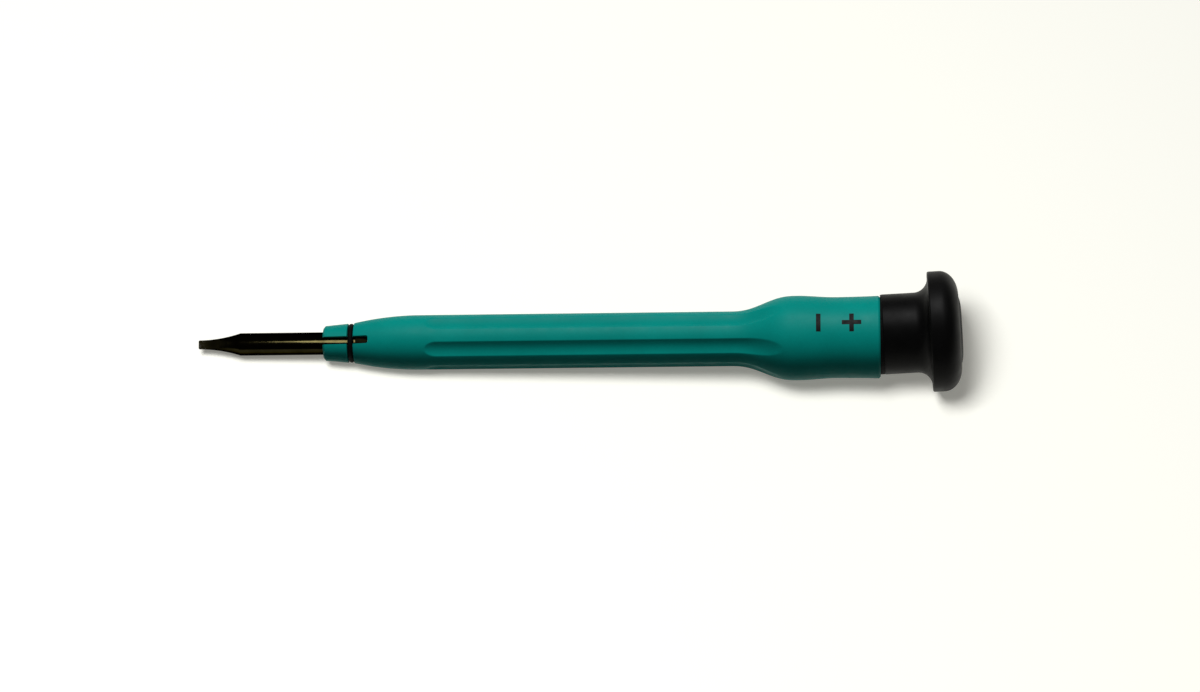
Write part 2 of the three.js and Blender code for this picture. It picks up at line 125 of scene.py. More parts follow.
class SCREWDRIVER_PG_handle(PropertyGroup):
    """Sizes of the handle, its nose and its flutes."""

    nose_diameter: length("Nose", 6.1, "Across the face of the nose")
    nose_end_diameter: length("Nose end", 7.15, "Where the nose's cone meets the swell")
    nose_length: length("Nose length", 5.5, "Length of the nose's cone")
    nose_chamfer: length("Nose chamfer", 0.35, "Round the nose's face")
    swell_length: length("Swell length", 11.5, "From the nose's cone to the full grip")
    grip_diameter: length("Grip", 9.66, "Across the grip, between the flutes")
    shoulder_station: length("Shoulder", 71.9, "Where the grip starts to rise to the bulb")
    shoulder_length: length("Shoulder length", 12.0, "From the grip to the bulb's crest")
    bulb_diameter: length("Bulb", 14.9, "Across the bulb's crest")
    waist_diameter: length("Waist", 14.26, "Across the waist behind the crest")
    waist_length: length("Waist length", 6.5, "From the crest to the waist")
    rear_diameter: length("Rear", 14.56, "Across the rear face")
    rear_length: length("Rear length", 8.0, "From the waist to the rear face")
    rear_chamfer: length("Rear chamfer", 0.3, "Round the rear face")
    bore_diameter: length("Bore", 4.3, "Hole for the blade")
    bore_depth: length("Bore depth", 37.5, "From the nose's face")
    bore_chamfer: length("Bore chamfer", 0.15, "At the mouth of the bore")
    slot_width: length("Slot width", 1.4, "Slot across the nose")
    slot_length: length("Slot length", 8.15, "From the nose's face")
    slot_corner: length("Slot corner", 0.35, "Radius at the blind end of the slot")
    slot_angle: turn("Slot angle", 20.0, "Side of the nose to which the slot opens")
    ring_station: length("Ring station", 4.9, "Middle of the ring and of its groove")
    ring_inside: length("Ring inside", 5.1, "Inside diameter of the ring")
    ring_section: length("Ring section", 0.9, "Thickness of the ring")
    groove_width: length("Groove width", 1.1, "Groove for the ring")
    groove_diameter: length("Groove floor", 5.0, "Across the floor of the ring's groove")
    pin_hole_diameter: length("Pin hole", 3.26, "Seat of the swivel pin")
    pin_hole_mouth: length("Pin hole mouth", 3.98, "Across the mouth, wide enough for the pin's lean")
    pin_hole_seat: length("Pin hole seat", 3.15, "Straight length at the bottom of the hole")
    pin_hole_depth: length("Pin hole depth", 11.15, "From the rear face")
    flute_count: IntProperty(name="Flutes", description="Flutes round the grip", default=6, min=1)
    flute_width: length("Flute width", 2.7, "Across one flute")
    flute_depth: length("Flute depth", 0.45, "At the middle of a flute")
    flute_angle: turn("Flute angle", 45.0, "Middle of the first flute")
    flute_start: length("Flute start", 18.2, "Front end of the flutes")
    flute_end: length("Flute end", 81.3, "Where the flutes have faded on the shoulder")
    flute_round: length("Flute round", 2.2, "Length of the rounded front end")
    flute_run_out: length("Flute run-out", 7.0, "Length over which a flute fades")


class SCREWDRIVER_PG_blade(PropertyGroup):
    """Sizes of the double-ended blade."""

    shank_diameter: length("Shank", 4.0, "Round bar of the blade")
    reach: length("Reach", 22.4, "Flat tip to the nose's face")
    overall: length("Overall", 58.4, "Flat tip to the point of the cross tip")
    flat_taper: length("Flat taper", 7.5, "Flare from the flat tip to the shank")
    flat_width: length("Flat width", 1.6, "Width of the flat tip")
    flat_thickness: length("Flat thickness", 0.4, "Thickness of the flat tip")
    flat_grind: length("Flat grind", 6.5, "Length of the hollow grinding on each cheek")
    cross_taper: length("Cross taper", 3.3, "From the shank to the neck of the cross tip")
    cross_blend: length("Cross blend", 2.0, "Radius at both ends of that taper")
    cross_neck: length("Cross neck", 3.0, "Diameter behind the cross tip")
    cross_neck_length: length("Cross neck length", 2.5, "Straight length behind the cross tip")
    cross_point: length("Cross point", 0.8, "Flat at the very point")
    cross_cone: turn("Cross cone", 53.0, "Full angle of the cross tip's cone")
    cross_web: length("Cross web", 0.5, "Thickness of each arm of the cross")
    cross_flute: turn("Cross flute", 20.0, "Climb of the grooves between the arms")
    wing_rear: length("Wing rear", 7.85, "Station of the wings' rear edge")
    wing_length: length("Wing length", 2.1, "Length of the two wings at mid-blade")
    wing_rise: length("Wing rise", 0.45, "How far each wing stands out of the shank")
    wing_thickness: length("Wing thickness", 1.1, "Thickness of the wings in the slot")
    edge_break: length("Edge break", 0.15, "Small chamfers")


class SCREWDRIVER_PG_swivel(PropertyGroup):
    """Sizes of the cap, its pad, its pin and its washers, from the front of the cap's neck."""

    neck_diameter: length("Neck", 14.1, "Across the cap's neck")
    neck_length: length("Neck length", 8.2, "Front of the neck to the underside of the rim")
    neck_core: length("Neck core", 10.9, "Hollow inside the neck")
    core_depth: length("Core depth", 7.4, "Depth of that hollow")
    hub_diameter: length("Hub", 6.8, "Hub inside the neck")
    hub_setback: length("Hub setback", 0.6, "Hub's face behind the neck's")
    hub_bore: length("Hub bore", 3.3, "Hole for the pin")
    rim_diameter: length("Rim", 21.2, "Across the rim")
    rim_fillet: length("Rim fillet", 2.5, "Neck into the underside of the rim")
    rim_land: length("Rim land", 2.1, "Straight edge of the rim")
    rim_round: length("Rim round", 3.2, "Rounding from the land to the end")
    pad_seat: length("Pad seat", 12.4, "Seat for the pad in the cap's end")
    pad_diameter: length("Pad", 12.2, "Across the pad")
    pad_thickness: length("Pad thickness", 2.2, "At the pad's edge")
    pad_crown: length("Pad crown", 0.35, "Rise of the pad's middle")
    pad_flat: length("Pad flat", 8.0, "Flat middle of the pad")
    pocket_diameter: length("Pocket", 6.3, "Pocket for the pin's head")
    play: length("End play", 0.15, "Between the swivel's stacked pieces")
    pin_diameter: length("Pin", 3.0, "Shank of the swivel pin")
    pin_tip: length("Pin tip", 11.52, "Pin's tip ahead of the neck's front")
    pin_knurl: length("Pin knurl", 3.0, "Knurled length that is pressed into the handle")
    pin_head: length("Pin head", 5.4, "Across the pin's head")
    pin_head_thickness: length("Pin head thickness", 1.3, "Thickness of the pin's head")
    steel_washer: length("Steel washer", 5.8, "Washer under the pin's head")
    steel_washer_thickness: length("Steel washer thickness", 0.6, "Thickness of that washer")
    nylon_washer: length("Nylon washer", 6.4, "Washer between the hub and the handle")
    nylon_washer_thickness: length("Nylon washer thickness", 0.675, "Thickness of that washer")
    # Painted shade: a dark ring on the handle's rear face fills the gap to the leaning cap, where there
    # would only be shade.
    dust_ring: length("Gap shade ring", 14.0, "Ring on the handle's rear face that closes the gap to the cap")
    gap_shade_ring_bore: length("Gap shade ring bore", 8.0, "Inside of that ring, round the cap's hub")
    gap_shade_ring_collar: length("Gap shade ring collar", 10.4, "Its collar, which reaches into the cap's neck")
    gap_shade_ring_reach: length("Gap shade ring reach", 1.0, "How far the collar reaches into the neck")
    gap_shade_ring_clearance: length("Gap shade ring gap", 0.01, "Between the ring and the front of the neck")


class SCREWDRIVER_PG_finish(PropertyGroup):
    """Colours of the pieces."""

    handle: colour("Handle", (0.001, 0.25, 0.215), "Teal plastic of the handle")
    ring: colour("Ring", (0.002, 0.002, 0.002), "Rubber of the nose ring")
    blade: colour("Blade", (0.013, 0.0111, 0.0044), "Dark oxide on the blade")
    bare_steel: colour("Bare steel", (0.42, 0.4, 0.37), "Where the oxide has worn off")
    cap: colour("Cap", (0.0025, 0.0025, 0.0025), "Plastic of the cap")
    pad: colour("Pad", (0.0035, 0.0035, 0.0035), "Plastic of the pad")
    ink: colour("Ink", (0.004, 0.005, 0.005), "Marks printed on the bulb")
    pin: colour("Pin", (0.55, 0.54, 0.52), "Turned steel of the pin and its washer")
    nylon: colour("Nylon", (0.78, 0.75, 0.68), "Nylon of the thrust washer")


class SCREWDRIVER_PG_stage(PropertyGroup):
    """Where the camera stands and what it looks at."""

    elevation: turn("Elevation", 60.0, "Camera above the floor")
    azimuth: turn("Azimuth", 1.17, "Camera round the tool, from its front")
    distance: length("Distance", 794.8, "From the camera to the point it looks at")
    focal: FloatProperty(
        name="Focal length", description="Lens on a 36 mm frame", default=135.0, unit="CAMERA"
    )
    aim_station: length("Aim station", 48.98, "Station of the point in the middle of the picture")
    aim_drop: length("Aim drop", 1.0, "How far that point lies below the axis in the picture")
    floor_size: length("Floor", 3000.0, "Side of the floor")
    floor_colour: colour("Floor colour", (0.87, 0.866, 0.805), "Pale floor, as the camera sees it")
    floor_glow: colour("Floor glow", (0.24, 0.238, 0.215), "Added to the floor, as the camera sees it")
    floor_bounce: colour("Floor bounce", (0.1, 0.1, 0.1), "The floor, as it lights the tool")


# Turned and cut meshes


def between(low, high, share):
    """The value that lies a share of the way from low to high."""
    return low + (high - low) * share


def softened(share):
    """A share that starts and ends gently."""
    return share * share * (3 - 2 * share)


def eased(share):
    """A share that starts and ends very gently."""
    return share**3 * (share * (6 * share - 15) + 10)


def spaced(start, end, count):
    """Evenly spaced values after start, up to and including end."""
    return [between(start, end, (step + 1) / count) for step in range(count)]


def bent(start, control, end):
    """Points of a curve that leaves start towards control and arrives at end, without start."""
    points = [Vector(point) for point in (start, control, end)]
    shares = spaced(0, 1, CURVE_STEPS)
    return [
        tuple(points[0].lerp(points[1], share).lerp(points[1].lerp(points[2], share), share))
        for share in shares
    ]


def arc(centre, radii, start, end):
    """Points of an elliptical arc between two angles, from the first to the last."""
    angles = [start, *spaced(start, end, CURVE_STEPS)]
    return [
        (centre[0] + radii[0] * math.cos(angle), centre[1] + radii[1] * math.sin(angle)) for angle in angles
    ]


def filleted(corners):
    """An outline with the corners that have a third number, a radius, rounded to it."""
    outline = []
    for index, corner in enumerate(corners):
        if len(corner) < 3:
            outline.append(corner)
            continue
        here = Vector(corner[:2])
        back = (Vector(corners[index - 1][:2]) - here).normalized()
        ahead = (Vector(corners[(index + 1) % len(corners)][:2]) - here).normalized()
        half = back.angle(ahead) / 2
        centre = here + (back + ahead).normalized() * corner[2] / math.sin(half)
        first = here + back * corner[2] / math.tan(half) - centre
        last = here + ahead * corner[2] / math.tan(half) - centre
        for step in range(FILLET_STEPS + 1):
            outline.append(tuple(centre + first.slerp(last, step / FILLET_STEPS) * corner[2]))
    return outline


def round_point(station, radius, angle):
    """A point round the X axis."""
    return Vector((station, -radius * math.sin(angle), radius * math.cos(angle)))


def as_mesh(name, shell):
    """Mesh of a finished shell, which is freed."""
    mesh = bpy.data.meshes.new(name)
    shell.to_mesh(mesh)
    shell.free()
    return mesh


def turned(outline, segments, closed=False):
    """Mesh of (station, radius) points turned about X.

    An outline that isn't closed starts and ends on the axis.
    """
    shell = bmesh.new()
    angles = [2 * math.pi * step / segments for step in range(segments)]
    rings = []
    for station, radius in outline:
        if radius:
            rings.append([shell.verts.new(round_point(station, radius, angle)) for angle in angles])
        else:
            rings.append([shell.verts.new((station, 0, 0))] * segments)
    if closed:
        rings.append(rings[0])
    for front, rear in zip(rings, rings[1:]):
        for step in range(segments):
            after = (step + 1) % segments
            corners = (front[step], front[after], rear[after], rear[step])
            shell.faces.new(list(dict.fromkeys(corners)))
    return as_mesh("turned", shell)


def prism(outline, half_height):
    """Closed mesh of a flat outline in X and Y that runs anticlockwise, carried along Z both ways."""
    shell = bmesh.new()
    low = [shell.verts.new((x, y, -half_height)) for x, y in outline]
    high = [shell.verts.new((x, y, half_height)) for x, y in outline]
    shell.faces.new(high)
    shell.faces.new(low[::-1])
    for index in range(len(outline)):
        after = (index + 1) % len(outline)
        shell.faces.new((low[index], low[after], high[after], high[index]))
    return as_mesh("prism", shell)


def box(placing):
    """Closed mesh of a unit cube, placed and stretched by a matrix."""
    shell = bmesh.new()
    bmesh.ops.create_cube(shell, size=1, matrix=placing)
    return as_mesh("box", shell)


def about_x(angle):
    """A turn about the X axis."""
    return Matrix.Rotation(angle, 4, "X")


def workpiece(name, mesh):
    """A new object at the origin that holds a mesh."""
    piece = bpy.data.objects.new(name, mesh)
    bpy.context.scene.collection.objects.link(piece)
    return piece


def settle(piece):
    """Swaps a piece's mesh for what its modifiers make of it, and removes them."""
    graph = bpy.context.evaluated_depsgraph_get()
    made = bpy.data.meshes.new_from_object(
        piece.evaluated_get(graph), preserve_all_data_layers=True, depsgraph=graph
    )
    piece.modifiers.clear()
    piece.data = made
    if not made.polygons:
        raise RuntimeError(f"nothing is left of {piece.name}")


def merged(shell):
    """Joins points that lie on top of each other and drops faces without area."""
    bmesh.ops.remove_doubles(shell, verts=shell.verts, dist=MERGE_DISTANCE)
    bmesh.ops.dissolve_degenerate(shell, edges=shell.edges, dist=MERGE_DISTANCE)
    return shell


def carve(piece, tool_mesh, operation="DIFFERENCE"):
    """Cuts a closed mesh out of a piece, or joins it to the piece."""
    cutter = workpiece("cutter", tool_mesh)
    modifier = piece.modifiers.new("carve", "BOOLEAN")
    modifier.operation = operation
    modifier.solver = "EXACT"
    modifier.object = cutter
    settle(piece)
    bpy.data.objects.remove(cutter)
    shell = bmesh.new()
    shell.from_mesh(piece.data)
    merged(shell).to_mesh(piece.data)
    shell.free()


def axis_frame(origin, axis):
    """Matrix that lays the X axis along an axis through a point, with Z as near to upright as it goes."""
    side = Vector((0, 0, 1)).cross(axis).normalized()
    facing = Matrix((axis, side, axis.cross(side))).transposed()
    return Matrix.Translation(origin) @ facing.to_4x4()


def tool_frame(scene):
    """Where the tool's stations and angles lie in the frame."""
    return axis_frame(FLAT_TIP_AT + TOOL_AXIS * scene.driver_blade.reach, TOOL_AXIS)


def swivel_frame(scene):
    """Where the swivel's stations lie in the frame."""
    return axis_frame(CAP_END_AT - SWIVEL_AXIS * pad_top(scene.driver_swivel), SWIVEL_AXIS)


def lay(piece, placing, material):
    """Lays a finished piece in the frame and gives it its finish."""
    mesh = piece.data
    mesh.transform(placing)
    mesh.materials.clear()
    mesh.materials.append(material)
    mesh.shade_smooth()
    mesh.set_sharp_from_angle(angle=SHARP_ANGLE)


def dress(piece, placing, material, node):
    """Lays a finished piece in the frame and lets it stand for a CAD node."""
    lay(piece, placing, material)
    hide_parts(node)
    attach(piece, BODY_OF[node])


# Node trees


class NodeSheet:
    """Short ways to add and join the nodes of one tree."""

    def __init__(self, tree):
        self.tree = tree

    def add(self, kind, **settings):
        """A new node with some of its settings changed."""
        node = self.tree.nodes.new(kind)
        for name, value in settings.items():
            setattr(node, name, value)
        return node

    def feed(self, socket, value):
        """Links an output to a socket, or sets the socket to a plain value."""
        if isinstance(value, bpy.types.NodeSocket):
            self.tree.links.new(value, socket)
        else:
            socket.default_value = value

    def fed(self, kind, values, **settings):
        """A new node with values or links for some of its sockets, by name."""
        node = self.add(kind, **settings)
        for name, value in values.items():
            self.feed(node.inputs[name], value)
        return node

    def math(self, operation, *values):
        """Result of a Math node."""
        node = self.add("ShaderNodeMath", operation=operation)
        for socket, value in zip(node.inputs, values):
            self.feed(socket, value)
        return node.outputs[0]

    def squares(self, first, second):
        """Sum of two squares."""
        return self.math("ADD", self.math("MULTIPLY", first, first), self.math("MULTIPLY", second, second))


FLUTE_INPUTS = {
    "Count": "NodeSocketInt",
    "Width": "NodeSocketFloat",
    "Depth": "NodeSocketFloat",
    "First Angle": "NodeSocketFloat",
    "Start": "NodeSocketFloat",
    "End": "NodeSocketFloat",
    "Front Round": "NodeSocketFloat",
    "Run Out": "NodeSocketFloat",
    "Radius": "NodeSocketFloat",
    "Material": "NodeSocketMaterial",
}


def flute_tree():
    """Hollows with rounded ends, pressed at even angles into a bar along X of about the given radius."""
    tree = bpy.data.node_groups.new("Pressed flutes", "GeometryNodeTree")
    tree.interface.new_socket(name="Bar", in_out="INPUT", socket_type="NodeSocketGeometry")
    for name, kind in FLUTE_INPUTS.items():
        tree.interface.new_socket(name=name, in_out="INPUT", socket_type=kind)
    tree.interface.new_socket(name="Fluted bar", in_out="OUTPUT", socket_type="NodeSocketGeometry")
    sheet = NodeSheet(tree)
    given = sheet.add("NodeGroupInput").outputs
    position = sheet.add("GeometryNodeInputPosition").outputs[0]
    x, y, z = sheet.fed("ShaderNodeSeparateXYZ", {"Vector": position}).outputs
    radius = sheet.math("SQRT", sheet.squares(y, z))
    angle = sheet.math("ARCTAN2", sheet.math("MULTIPLY", y, -1.0), z)

    pitch = sheet.math("DIVIDE", 2 * math.pi, given["Count"])
    turns = sheet.math("DIVIDE", sheet.math("SUBTRACT", angle, given["First Angle"]), pitch)
    off_middle = sheet.math("MULTIPLY", sheet.math("SUBTRACT", turns, sheet.math("ROUND", turns)), pitch)
    half_width = sheet.math("MULTIPLY", given["Width"], 0.5)
    across = sheet.math("DIVIDE", sheet.math("MULTIPLY", off_middle, given["Radius"]), half_width)

    front = sheet.math("ADD", given["Start"], given["Front Round"])
    before = sheet.math("DIVIDE", sheet.math("SUBTRACT", front, x), given["Front Round"])
    rear = sheet.math("SUBTRACT", given["End"], given["Run Out"])
    behind = sheet.math("DIVIDE", sheet.math("SUBTRACT", x, rear), given["Run Out"])
    along = sheet.math("MAXIMUM", sheet.math("MAXIMUM", before, behind), 0.0)

    outside = sheet.math("GREATER_THAN", radius, sheet.math("MULTIPLY", given["Radius"], 0.5))
    sunk = sheet.math("MAXIMUM", sheet.math("SUBTRACT", 1.0, sheet.squares(across, along)), 0.0)
    hollow = sheet.math("MULTIPLY", sunk, outside)
    sink = sheet.math("DIVIDE", sheet.math("MULTIPLY", hollow, given["Depth"]), radius)
    inwards = sheet.fed(
        "ShaderNodeCombineXYZ",
        {"X": 0.0, "Y": sheet.math("MULTIPLY", y, sink), "Z": sheet.math("MULTIPLY", z, sink)},
    )
    offset = sheet.fed("ShaderNodeVectorMath", {"Vector": inwards.outputs[0]}, operation="SCALE")
    offset.inputs["Scale"].default_value = -1.0

    marked = sheet.fed(
        "GeometryNodeStoreNamedAttribute",
        {"Geometry": given["Bar"], "Name": "hollow", "Value": hollow},
        data_type="FLOAT",
        domain="POINT",
    )
    pressed = sheet.fed(
        "GeometryNodeSetPosition", {"Geometry": marked.outputs[0], "Offset": offset.outputs[0]}
    )
    real = sheet.fed("GeometryNodeRealizeInstances", {"Geometry": pressed.outputs[0]})
    painted = sheet.fed(
        "GeometryNodeSetMaterial", {"Geometry": real.outputs[0], "Material": given["Material"]}
    )
    sheet.feed(sheet.add("NodeGroupOutput").inputs[0], painted.outputs[0])
    return tree


def press_flutes(piece, values):
    """Presses flutes into a piece, with values for the tree's inputs by name."""
    tree = bpy.data.node_groups.get("Pressed flutes") or flute_tree()
    modifier = piece.modifiers.new("flutes", "NODES")
    modifier.node_group = tree
    for item in tree.interface.items_tree:
        if item.in_out == "INPUT" and item.name in values:
            modifier[item.identifier] = values[item.name]
    settle(piece)


# Finishes


class Finish(NodeSheet):
    """A material under construction: its Principled shader, and patterns on one axis's coordinates."""

    def __init__(self, name, placing, shader_values):
        self.material = bpy.data.materials.new(name)
        self.material.use_nodes = True
        super().__init__(self.material.node_tree)
        self.shader = self.tree.nodes["Principled BSDF"]
        for socket, value in shader_values.items():
            self.shader.inputs[socket].default_value = value
        seat = self.fed(
            "ShaderNodeMapping",
            {
                "Vector": self.add("ShaderNodeTexCoord").outputs["Object"],
                "Location": placing.to_translation(),
                "Rotation": placing.to_euler(),
            },
            vector_type="TEXTURE",
        )
        self.place = seat.outputs[0]

    def noise(self, cell, detail=2.0, roughness=0.5):
        """Noise with cells of a size in metres, or of three sizes along, across and up the axis."""
        sizes = cell if isinstance(cell, tuple) else (cell,) * 3
        vector = self.fed("ShaderNodeVectorMath", {0: self.place}, operation="DIVIDE")
        vector.inputs[1].default_value = sizes
        values = {"Vector": vector.outputs[0], "Scale": 1.0, "Detail": detail, "Roughness": roughness}
        return self.fed("ShaderNodeTexNoise", values).outputs[0]

    def stations(self):
        """Station along the axis, and distance from it."""
        station, y, z = self.fed("ShaderNodeSeparateXYZ", {"Vector": self.place}).outputs
        return station, self.math("SQRT", self.squares(y, z))

    def paint(self, socket, value):
        """Links a pattern to one of the shader's sockets."""
        self.feed(self.shader.inputs[socket], value)

    def ranged(self, value, low, high, start=0.3, end=0.7):
        """A value carried from start and end to low and high."""
        values = {"Value": value, "From Min": start, "From Max": end, "To Min": low, "To Max": high}
        return self.fed("ShaderNodeMapRange", values).outputs[0]

    def shaded(self, base, value):
        """A colour made lighter or darker by a factor."""
        node = self.fed("ShaderNodeHueSaturation", {"Color": (*base, 1.0), "Value": value})
        return node.outputs[0]

    def mixed(self, share, first, second):
        """One colour turning into another."""
        node = self.add("ShaderNodeMix", data_type="RGBA")
        self.feed(node.inputs["Factor"], share)
        colours = [socket for socket in node.inputs if socket.type == "RGBA"]
        for socket, value in zip(colours, (first, second)):
            self.feed(socket, value if isinstance(value, bpy.types.NodeSocket) else (*value, 1.0))
        return next(socket for socket in node.outputs if socket.type == "RGBA")

    def bump(self, *layers):
        """Relief from (height, depth in metres) layers."""
        normal = None
        for height, depth in layers:
            node = self.fed("ShaderNodeBump", {"Height": height, "Distance": depth, "Strength": 1.0})
            if normal:
                self.feed(node.inputs["Normal"], normal)
            normal = node.outputs[0]
        self.paint("Normal", normal)


def teal_plastic(base, placing):
    """Satin moulded plastic: faint mottling, polish from handling, painted shade darkening the flutes."""
    finish = Finish("teal_plastic", placing, {"Specular IOR Level": 0.05, "IOR": 1.48})
    hollow = finish.add("ShaderNodeAttribute", attribute_name="hollow").outputs["Fac"]
    cloud = finish.ranged(finish.noise(7 * MM, detail=4.0), 0.95, 1.05)
    speck = finish.ranged(finish.noise(0.35 * MM, detail=1.0), 0.97, 1.03)
    # Painted shade: the base colour darkens with the depth of each flute.
    painted_flute_shade = finish.ranged(hollow, 1.0, 0.93, 0.0, 1.0)
    tone = finish.math("MULTIPLY", finish.math("MULTIPLY", cloud, speck), painted_flute_shade)
    finish.paint("Base Color", finish.shaded(base, tone))
    satin = finish.ranged(finish.noise(2.5 * MM, detail=3.0), 0.4, 0.52)
    finish.paint("Roughness", finish.math("ADD", satin, finish.math("MULTIPLY", hollow, 0.06)))
    scratches = finish.noise((9 * MM, 0.12 * MM, 0.12 * MM), detail=1.0)
    finish.bump((finish.noise(0.18 * MM, detail=1.0), 0.004 * MM), (scratches, 0.004 * MM))
    return finish.material


def black_rubber(base, placing):
    """Matt black rubber with a fine bloom."""
    finish = Finish("black_rubber", placing, {"Specular IOR Level": 0.06})
    bloom = finish.ranged(finish.noise(0.6 * MM, detail=4.0), 0.7, 1.6)
    finish.paint("Base Color", finish.shaded(base, bloom))
    finish.paint("Roughness", finish.ranged(finish.noise(0.4 * MM), 0.6, 0.8))
    finish.bump((finish.noise(0.09 * MM), 0.004 * MM))
    return finish.material


def dark_oxide(base, bare, tip_station, shank, placing):
    """Ground tool steel under dark oxide: fine rings, dull wings and a tip rubbed a little by screws."""
    finish = Finish("dark_oxide", placing, {"Metallic": 1.0, "Specular Tint": (0.2, 0.18, 0.14, 1.0)})
    station, off_axis = finish.stations()
    unground = finish.ranged(off_axis, 0.0, 1.0, shank, 1.1 * shank)
    dulled = finish.ranged(station, 1.0, 0.0, tip_station + 3 * MM, tip_station + 7 * MM)
    dull = finish.math("MAXIMUM", unground, dulled)

    stain = finish.ranged(finish.noise(1.6 * MM, detail=4.0), 0.75, 1.3)
    tone = finish.math("MULTIPLY", stain, finish.ranged(dull, 1.0, 0.25, 0.0, 1.0))
    near_tip = finish.ranged(station, 1.0, 0.0, tip_station, tip_station + 1.4 * MM)
    rubbed = finish.ranged(finish.noise(0.5 * MM, detail=3.0), 0.0, 0.04, 0.45, 0.75)
    wear = finish.math("MULTIPLY", near_tip, rubbed)
    finish.paint("Base Color", finish.mixed(wear, finish.shaded(base, tone), bare))

    rings = finish.noise((0.06 * MM, 3 * MM, 3 * MM), detail=2.0)
    gloss = finish.math("ADD", finish.ranged(rings, 0.09, 0.14), finish.math("MULTIPLY", dull, 0.4))
    finish.paint("Roughness", gloss)
    finish.bump((rings, 0.0003 * MM))
    return finish.material


def black_moulding(name, base, placing, satin):
    """Black moulded plastic with a fine even grain and places polished by fingers."""
    finish = Finish(name, placing, {"Specular IOR Level": 0.06, "IOR": 1.48})
    cloud = finish.ranged(finish.noise(5 * MM, detail=3.0), 0.8, 1.25)
    finish.paint("Base Color", finish.shaded(base, cloud))
    finish.paint("Roughness", finish.ranged(finish.noise(3 * MM, detail=4.0), *satin))
    finish.bump((finish.noise(0.14 * MM, detail=1.0), 0.006 * MM))
    return finish.material


def turned_steel(base, placing):
    """Bright turned steel with fine rings round its axis."""
    finish = Finish("turned_steel", placing, {"Metallic": 1.0})
    rings = finish.noise((0.05 * MM, 2 * MM, 2 * MM), detail=2.0)
    finish.paint("Base Color", finish.shaded(base, finish.ranged(rings, 0.9, 1.06)))
    finish.paint("Roughness", finish.ranged(rings, 0.22, 0.38))
    finish.bump((rings, 0.002 * MM))
    return finish.material


def natural_nylon(base, placing):
    """Natural nylon, a little translucent and slightly stained by grease."""
    values = {"Specular IOR Level": 0.4, "Subsurface Weight": 0.2, "Subsurface Scale": 0.4 * MM}
    finish = Finish("natural_nylon", placing, values)
    stain = finish.ranged(finish.noise(1.2 * MM, detail=4.0), 0.85, 1.04)
    finish.paint("Base Color", finish.shaded(base, stain))
    finish.paint("Roughness", finish.ranged(finish.noise(0.5 * MM), 0.42, 0.58))
    finish.bump((finish.noise(0.1 * MM), 0.003 * MM))
    return finish.material


def pad_ink(base, placing):
    """Black ink printed by pad: thin, even, slightly worn."""
    finish = Finish("pad_ink", placing, {"Specular IOR Level": 0.08})
    wear = finish.ranged(finish.noise(0.4 * MM, detail=4.0), 0.8, 1.4)
    finish.paint("Base Color", finish.shaded(base, wear))
    finish.paint("Roughness", finish.ranged(finish.noise(0.8 * MM), 0.45, 0.6))
    return finish.material


# Handle


def handle_length(sizes):
    """Nose's face to the rear face."""
    return sizes.shoulder_station + sizes.shoulder_length + sizes.waist_length + sizes.rear_length


def handle_radius(sizes, station):
    """Outside of the handle at a station, without the flutes."""
    grip, bulb, waist = sizes.grip_diameter / 2, sizes.bulb_diameter / 2, sizes.waist_diameter / 2
    nose_end = sizes.nose_end_diameter / 2
    swell_end = sizes.nose_length + sizes.swell_length
    crest = sizes.shoulder_station + sizes.shoulder_length
    waist_station = crest + sizes.waist_length
    if station <= sizes.nose_length:
        return between(sizes.nose_diameter / 2, nose_end, station / sizes.nose_length)
    if station <= swell_end:
        return grip - (grip - nose_end) * ((swell_end - station) / sizes.swell_length) ** 2
    if station <= sizes.shoulder_station:
        return grip
    if station <= crest:
        return between(grip, bulb, eased((station - sizes.shoulder_station) / sizes.shoulder_length))
    if station <= waist_station:
        return between(bulb, waist, softened((station - crest) / sizes.waist_length))
    return between(waist, sizes.rear_diameter / 2, ((station - waist_station) / sizes.rear_length) ** 2)


def handle_outline(sizes):
    """From the bottom of the bore, round the outside, to the bottom of the pin's hole."""
    swell_end = sizes.nose_length + sizes.swell_length
    crest = sizes.shoulder_station + sizes.shoulder_length
    end = handle_length(sizes)
    bore, floor = sizes.bore_diameter / 2, sizes.groove_diameter / 2
    groove_front = sizes.ring_station - sizes.groove_width / 2
    groove_rear = sizes.ring_station + sizes.groove_width / 2
    rear_land = end - sizes.rear_chamfer
    rear_face = sizes.rear_diameter / 2 - sizes.rear_chamfer
    pin_bottom = end - sizes.pin_hole_depth
    pin_seat_end = pin_bottom + sizes.pin_hole_seat
    pin_hole = sizes.pin_hole_diameter / 2
    small, clear = HANDLE_EDGE, 3 * HANDLE_EDGE

    def on_surface(station, *fillet):
        return (station, handle_radius(sizes, station), *fillet)

    inside = [(sizes.bore_depth, 0), (sizes.bore_depth, bore, small)]
    inside += [(station, bore) for station in spaced(1.5 * sizes.slot_length, sizes.bore_chamfer, 16)]
    nose = [
        (0, bore + sizes.bore_chamfer),
        (0, sizes.nose_diameter / 2 - sizes.nose_chamfer, small),
        on_surface(sizes.nose_chamfer, small),
    ]
    nose += [on_surface(station) for station in spaced(2 * sizes.nose_chamfer, groove_front - clear, 8)]
    groove = [
        on_surface(groove_front, small),
        (groove_front, floor, small),
        (groove_rear, floor, small),
        on_surface(groove_rear, small),
    ]
    stretches = (
        (groove_rear + clear, swell_end, 40),
        (swell_end, sizes.flute_start, 2),
        (sizes.flute_start, sizes.flute_start + sizes.flute_round, 18),
        (sizes.flute_start + sizes.flute_round, sizes.shoulder_station, 30),
        (sizes.shoulder_station, crest, 48),
        (crest, rear_land - small, 40),
    )
    outside = [on_surface(station) for stretch in stretches for station in spaced(*stretch)]
    rear = [
        on_surface(rear_land, small),
        (end, rear_face, small),
        (end, sizes.pin_hole_mouth / 2, small),
        (pin_seat_end, pin_hole),
        (pin_bottom, pin_hole, small),
        (pin_bottom, 0),
    ]
    return filleted(inside + nose + groove + outside + rear)


